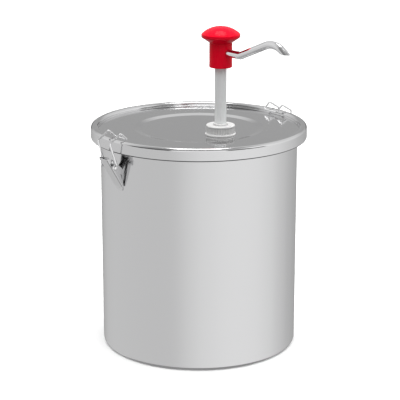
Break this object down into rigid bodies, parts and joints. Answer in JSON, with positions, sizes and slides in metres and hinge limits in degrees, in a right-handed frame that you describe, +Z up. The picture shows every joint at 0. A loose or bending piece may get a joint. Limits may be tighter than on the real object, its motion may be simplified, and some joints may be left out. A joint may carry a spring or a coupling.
{
  "type": "condiment pump dispenser",
  "caption": "Steel pail with a latched lift-off lid and an off-centre, hand-pressed plunger pump with a bent swivelling spout.",
  "frame": {"origin": "centre of the pail's base, on the surface it stands on", "axes": "+Z up along the pail's axis, -Y towards the spout's tip, latches at +X and -X"},
  "size_m": [0.288, 0.2925, 0.3992],
  "materials": {
    "polished_steel": "polished stainless sheet with faint brushing",
    "chrome_wire": "bright",
    "chrome_tube": "mirror bright",
    "red_plastic": "semi-gloss moulded",
    "white_plastic": "satin moulded",
    "milky_plastic": "satin, slightly translucent",
    "silicone": "matte food-grade silicone",
    "black_rubber": "matte"
  },
  "bodies": {
    "pail_body": {"pail": "polished_steel", "left_latch_bracket": "polished_steel", "left_latch_pin": "chrome_wire", "right_latch_bracket": "polished_steel", "right_latch_pin": "chrome_wire"},
    "lid_assembly": {"lid": "polished_steel", "lid_gasket": "silicone", "pump_cylinder": "milky_plastic", "neck_gasket": "silicone", "cap_nut": "white_plastic", "stem_guide": "white_plastic", "stem_seal": "black_rubber", "foot_valve": "white_plastic", "foot_valve_gasket": "silicone", "inlet_ball_cage": "white_plastic", "dip_tube": "milky_plastic"},
    "inlet_check": {"inlet_ball": "chrome_wire"},
    "spring_end": {"return_spring": "chrome_wire", "spring_washer": "white_plastic"},
    "plunger": {"piston": "white_plastic", "piston_seal": "black_rubber", "stem": "milky_plastic", "outlet_ball_cage": "white_plastic", "discharge_head": "red_plastic", "head_o_ring": "black_rubber", "palm_knob": "red_plastic", "spout": "chrome_tube"},
    "outlet_check": {"outlet_ball": "chrome_wire"},
    "left_lever": {"left_latch_lever": "polished_steel"},
    "left_studs": {"left_bail_studs": "chrome_wire"},
    "left_bail_wire": {"left_bail": "chrome_wire"},
    "right_lever": {"right_latch_lever": "polished_steel"},
    "right_studs": {"right_bail_studs": "chrome_wire"},
    "right_bail_wire": {"right_bail": "chrome_wire"}
  },
  "joints": [
    {"name": "lid_lift", "type": "slide", "parent": "pail_body", "child": "lid_assembly", "axis": [0, 0, 1], "range_m": [0, 0.28]},
    {"name": "plunger_press", "type": "slide", "parent": "lid_assembly", "child": "spring_end", "axis": [0, 0, -1], "range_m": [0, 0.06], "stiffness_N_per_m": 120, "springref_m": -0.035, "deforming": ["return_spring"]},
    {"name": "spout_swivel", "type": "hinge", "parent": "spring_end", "child": "plunger", "pos_m": [0, -0.041, 0.368], "axis": [0, 0, 1], "continuous": true},
    {"name": "inlet_lift", "type": "slide", "parent": "lid_assembly", "child": "inlet_check", "axis": [0, 0, 1], "range_m": [0, 0.0038]},
    {"name": "outlet_lift", "type": "slide", "parent": "plunger", "child": "outlet_check", "axis": [0, 0, 1], "range_m": [0, 0.004]},
    {"name": "left_lever_open", "type": "hinge", "parent": "pail_body", "child": "left_lever", "pos_m": [-0.1356, 0, 0.2494], "axis": [0, 1, 0], "range_deg": [0, 150]},
    {"name": "left_studs_turn", "type": "hinge", "parent": "left_lever", "child": "left_studs", "pos_m": [-0.135, 0, 0.244], "axis": [0, 1, 0], "range_deg": [-139.5, 0]},
    {"name": "left_bail_swing", "type": "hinge", "parent": "left_studs", "child": "left_bail_wire", "pos_m": [-0.135, 0, 0.244], "axis": [0, -1, 0], "range_deg": [0, 150]},
    {"name": "right_lever_open", "type": "hinge", "parent": "pail_body", "child": "right_lever", "pos_m": [0.1356, 0, 0.2494], "axis": [0, -1, 0], "range_deg": [0, 150]},
    {"name": "right_studs_turn", "type": "hinge", "parent": "right_lever", "child": "right_studs", "pos_m": [0.135, 0, 0.244], "axis": [0, -1, 0], "range_deg": [-139.5, 0]},
    {"name": "right_bail_swing", "type": "hinge", "parent": "right_studs", "child": "right_bail_wire", "pos_m": [0.135, 0, 0.244], "axis": [0, 1, 0], "range_deg": [0, 150]}
  ],
  "couplings": [
    {"joint": "left_studs_turn", "follows": "left_lever_open", "ratio": -0.93},
    {"joint": "right_studs_turn", "follows": "right_lever_open", "ratio": -0.93}
  ]
}
